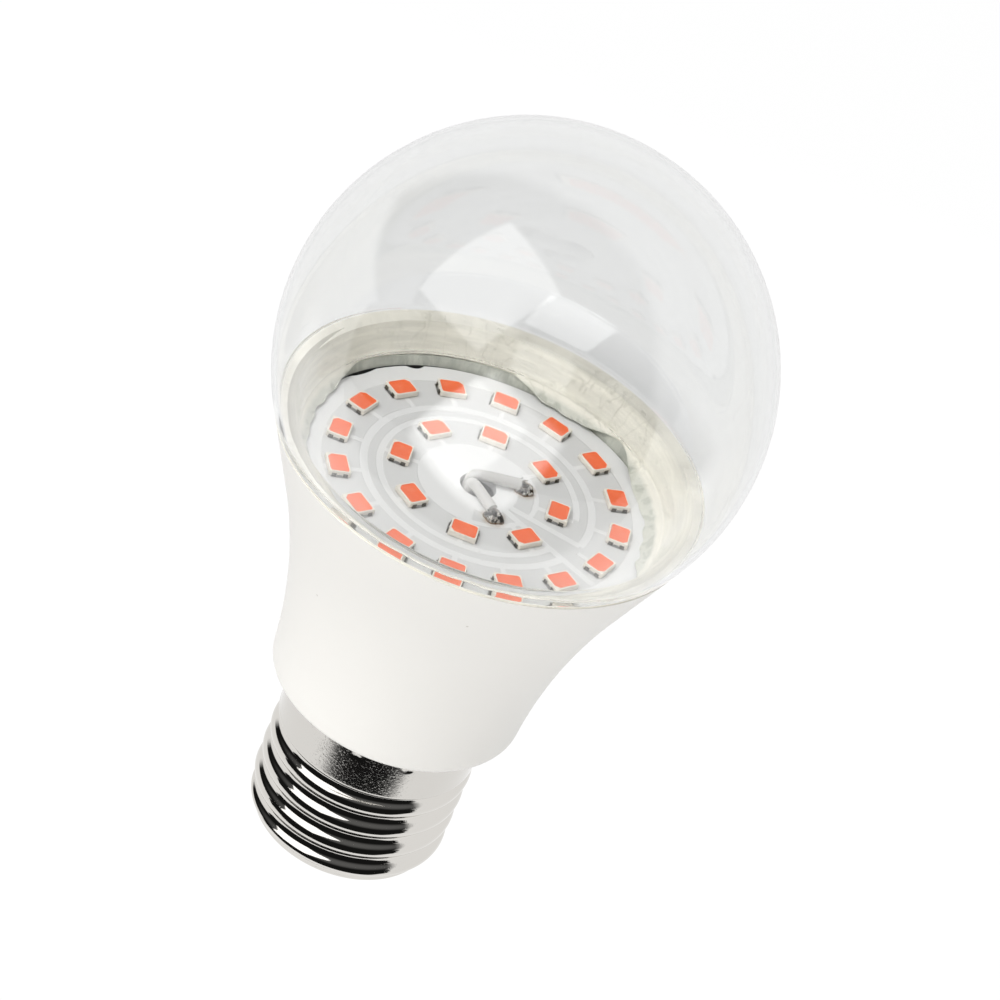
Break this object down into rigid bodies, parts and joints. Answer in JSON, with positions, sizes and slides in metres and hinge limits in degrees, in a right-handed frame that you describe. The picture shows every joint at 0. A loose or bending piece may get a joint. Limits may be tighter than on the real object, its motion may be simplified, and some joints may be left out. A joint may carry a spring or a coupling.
{
  "type": "led grow light bulb",
  "caption": "Screw-cap grow light bulb: a clear round globe over a flat board with rings of coral emitters, on a flared white housing with a bright threaded cap.",
  "frame": {"origin": "on the bulb's axis at the lower face of the centre contact, which is the tip that meets the lamp holder", "axes": "+Z along the bulb's axis from the contact to the top of the globe, +X through an emitter of each ring"},
  "size_m": [0.06, 0.06, 0.109],
  "materials": {
    "clear_plastic": "clear, gloss, lightly grey",
    "sealant": "pale yellow, satin",
    "white_plastic": "warm white, satin",
    "aluminium": "drawn sheet",
    "board_white": "white solder mask over copper fields",
    "led_package": "cream, satin",
    "led_phosphor": "coral gel, gloss",
    "solder": "bright tin",
    "wire_white": "white sleeve",
    "driver_laminate": "tan laminate",
    "can_sleeve": "dark sleeve",
    "ferrite": "sintered, matte",
    "winding_tape": "yellow tape",
    "epoxy_black": "moulded, matte",
    "fuse_coat": "lacquer",
    "lead_tin": "tinned wire",
    "nickel": "bright nickel plate",
    "insulator_black": "black, gloss"
  },
  "bodies": {
    "root": {"globe": "clear_plastic", "sealant_ring": "sealant", "housing": "white_plastic", "heat_sink_cup": "aluminium", "led_board": "board_white", "led_outer_01": "led_package", "led_outer_02": "led_package", "led_outer_03": "led_package", "led_outer_04": "led_package", "led_outer_05": "led_package", "led_outer_06": "led_package", "led_outer_07": "led_package", "led_outer_08": "led_package", "led_outer_09": "led_package", "led_outer_10": "led_package", "led_outer_11": "led_package", "led_outer_12": "led_package", "led_outer_13": "led_package", "led_outer_14": "led_package", "led_outer_15": "led_package", "led_outer_16": "led_package", "led_inner_01": "led_package", "led_inner_02": "led_package", "led_inner_03": "led_package", "led_inner_04": "led_package", "led_inner_05": "led_package", "led_inner_06": "led_package", "led_inner_07": "led_package", "led_inner_08": "led_package", "led_phosphor_outer": "led_phosphor", "led_phosphor_inner": "led_phosphor", "led_solder_pads": "solder", "solder_joint_positive": "solder", "solder_joint_negative": "solder", "wire_positive": "wire_white", "wire_negative": "wire_white", "driver_board": "driver_laminate", "input_capacitor": "can_sleeve", "output_capacitor": "can_sleeve", "inductor_core": "ferrite", "inductor_winding": "winding_tape", "rectifier": "epoxy_black", "driver_chip": "epoxy_black", "freewheel_diode": "epoxy_black", "chip_resistors": "epoxy_black", "fuse_resistor": "fuse_coat", "live_lead": "lead_tin", "neutral_lead": "lead_tin", "screw_shell": "nickel", "centre_contact": "nickel", "cap_insulator": "insulator_black"}
  },
  "joints": []
}
